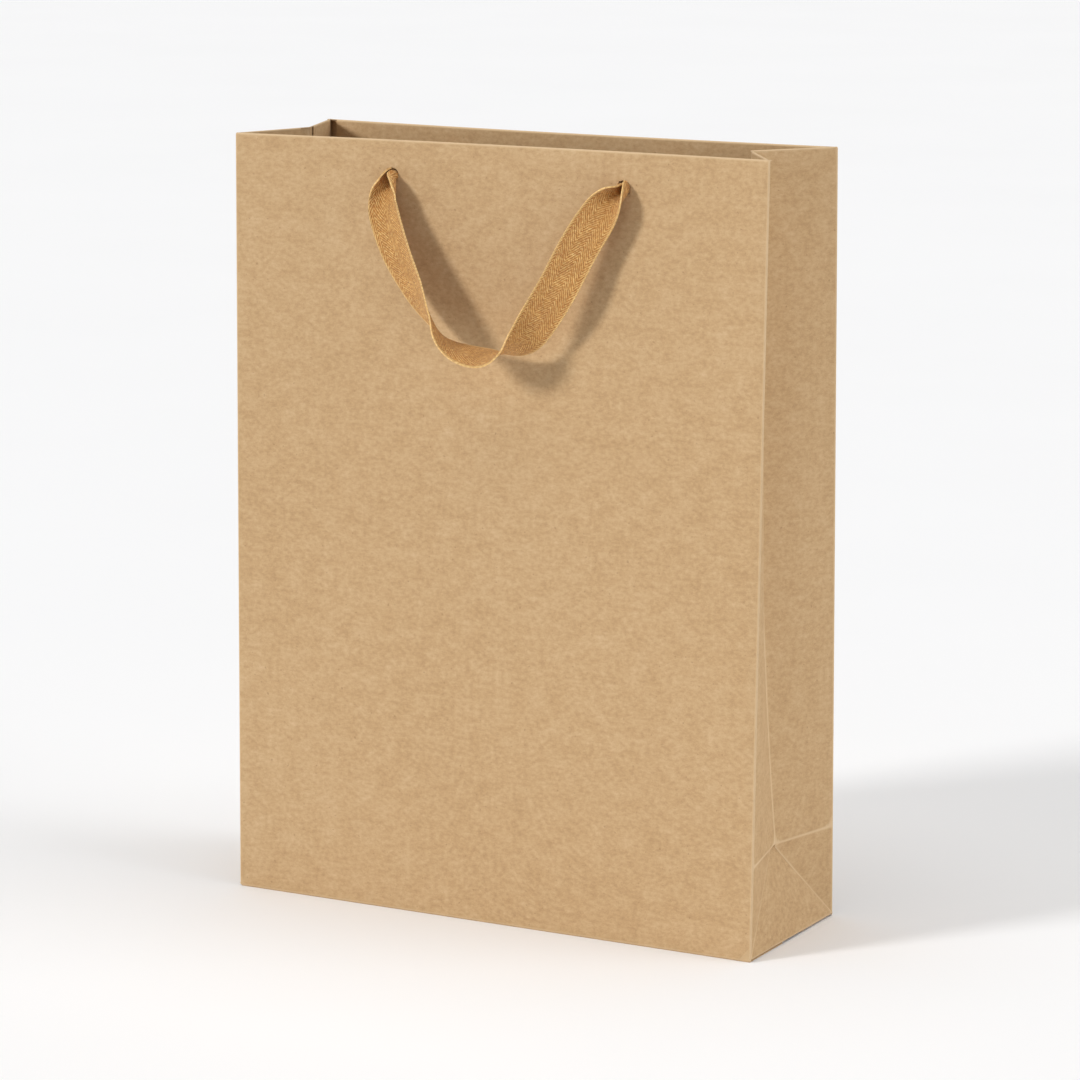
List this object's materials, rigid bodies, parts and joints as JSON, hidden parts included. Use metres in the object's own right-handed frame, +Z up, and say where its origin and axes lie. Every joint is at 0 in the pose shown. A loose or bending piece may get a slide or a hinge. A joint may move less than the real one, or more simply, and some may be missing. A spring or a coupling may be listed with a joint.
{
  "type": "gift bag",
  "caption": "Standing brown kraft paper gift bag, gusseted and creased to fold, with woven ribbon handles hanging outside the broad panels and a loose card in the bottom.",
  "frame": {"origin": "centre of the bottom, on the surface that the bag stands on", "axes": "+X to the bag's right seen from the front, the front panel faces -Y, +Z up"},
  "size_m": [0.24, 0.1207, 0.32],
  "materials": {
    "kraft_paper": "uncoated brown kraft, matte",
    "grey_card": "plain grey board, matte",
    "gold_ribbon": "woven herringbone twill with a slight sheen"
  },
  "bodies": {
    "base": {"bottom_outer_flap": "kraft_paper", "bottom_inner_flap": "kraft_paper", "bottom_left_tuck_flap": "kraft_paper", "bottom_right_tuck_flap": "kraft_paper", "base_board": "grey_card"},
    "left_tuck": {"left_tuck_triangle": "kraft_paper"},
    "right_tuck": {"right_tuck_triangle": "kraft_paper"},
    "front": {"front_panel": "kraft_paper", "front_stiffener": "grey_card", "front_hem": "kraft_paper", "front_left_knot": "gold_ribbon", "front_right_knot": "gold_ribbon"},
    "back": {"back_panel": "kraft_paper", "back_stiffener": "grey_card", "back_hem": "kraft_paper", "back_left_knot": "gold_ribbon", "back_right_knot": "gold_ribbon", "side_seam_flap": "kraft_paper"},
    "left_gusset_front": {"left_gusset_front_half": "kraft_paper", "left_gusset_front_hem": "kraft_paper"},
    "left_gusset_rear": {"left_gusset_rear_half": "kraft_paper", "left_gusset_rear_hem": "kraft_paper"},
    "right_gusset_front": {"right_gusset_front_half": "kraft_paper", "right_gusset_front_hem": "kraft_paper"},
    "right_gusset_rear": {"right_gusset_rear_half": "kraft_paper", "right_gusset_rear_hem": "kraft_paper"},
    "front_handle": {"front_handle": "gold_ribbon"},
    "back_handle": {"back_handle": "gold_ribbon"}
  },
  "joints": [
    {"name": "front_lean", "type": "hinge", "parent": "base", "child": "front", "pos_m": [0, -0.0398, 0.0007], "axis": [-1, 0, 0], "range_deg": [-0.3, 4], "stiffness_Nm_per_rad": 0.5},
    {"name": "back_lean", "type": "hinge", "parent": "base", "child": "back", "pos_m": [0, 0.0398, 0.0007], "axis": [1, 0, 0], "range_deg": [-0.4, 4.1]},
    {"name": "left_gusset_front_fold", "type": "hinge", "parent": "front", "child": "left_gusset_front", "pos_m": [-0.1198, -0.0393, 0.0018], "axis": [0, -0.0063, -1], "range_deg": [-4.16, 49.3]},
    {"name": "left_gusset_rear_fold", "type": "hinge", "parent": "back", "child": "left_gusset_rear", "pos_m": [-0.1198, 0.0393, 0.0018], "axis": [0, -0.0063, 1], "range_deg": [-4.16, 49.3]},
    {"name": "left_tuck_fold", "type": "hinge", "parent": "base", "child": "left_tuck", "pos_m": [-0.12, 0, 0.0007], "axis": [0, 1, 0], "range_deg": [-1.35, 14.3]},
    {"name": "right_gusset_front_fold", "type": "hinge", "parent": "front", "child": "right_gusset_front", "pos_m": [0.1198, -0.0393, 0.0018], "axis": [0, 0.0236, 0.9997], "range_deg": [-3.47, 40.1]},
    {"name": "right_gusset_rear_fold", "type": "hinge", "parent": "back", "child": "right_gusset_rear", "pos_m": [0.1198, 0.0393, 0.0018], "axis": [0, 0.0236, -0.9997], "range_deg": [-3.47, 40.1]},
    {"name": "right_tuck_fold", "type": "hinge", "parent": "base", "child": "right_tuck", "pos_m": [0.12, 0, 0.0007], "axis": [0, -1, 0], "range_deg": [-1.05, 10.3]},
    {"name": "front_handle_swing", "type": "hinge", "parent": "front", "child": "front_handle", "pos_m": [0.00385, -0.03839, 0.3048], "axis": [-0.9998, -0.0218, 0], "range_deg": [0, 150]},
    {"name": "back_handle_swing", "type": "hinge", "parent": "back", "child": "back_handle", "pos_m": [-0.00385, 0.03856, 0.3048], "axis": [0.9998, -0.0218, 0], "range_deg": [0, 150]}
  ],
  "couplings": [
    {"joint": "back_lean", "follows": "front_lean", "ratio": 1},
    {"joint": "left_gusset_front_fold", "follows": "front_lean", "ratio": 12.2},
    {"joint": "left_gusset_rear_fold", "follows": "front_lean", "ratio": 12.2},
    {"joint": "left_tuck_fold", "follows": "front_lean", "ratio": 3.5},
    {"joint": "right_gusset_front_fold", "follows": "front_lean", "ratio": 9.9},
    {"joint": "right_gusset_rear_fold", "follows": "front_lean", "ratio": 9.9},
    {"joint": "right_tuck_fold", "follows": "front_lean", "ratio": 2.5}
  ]
}
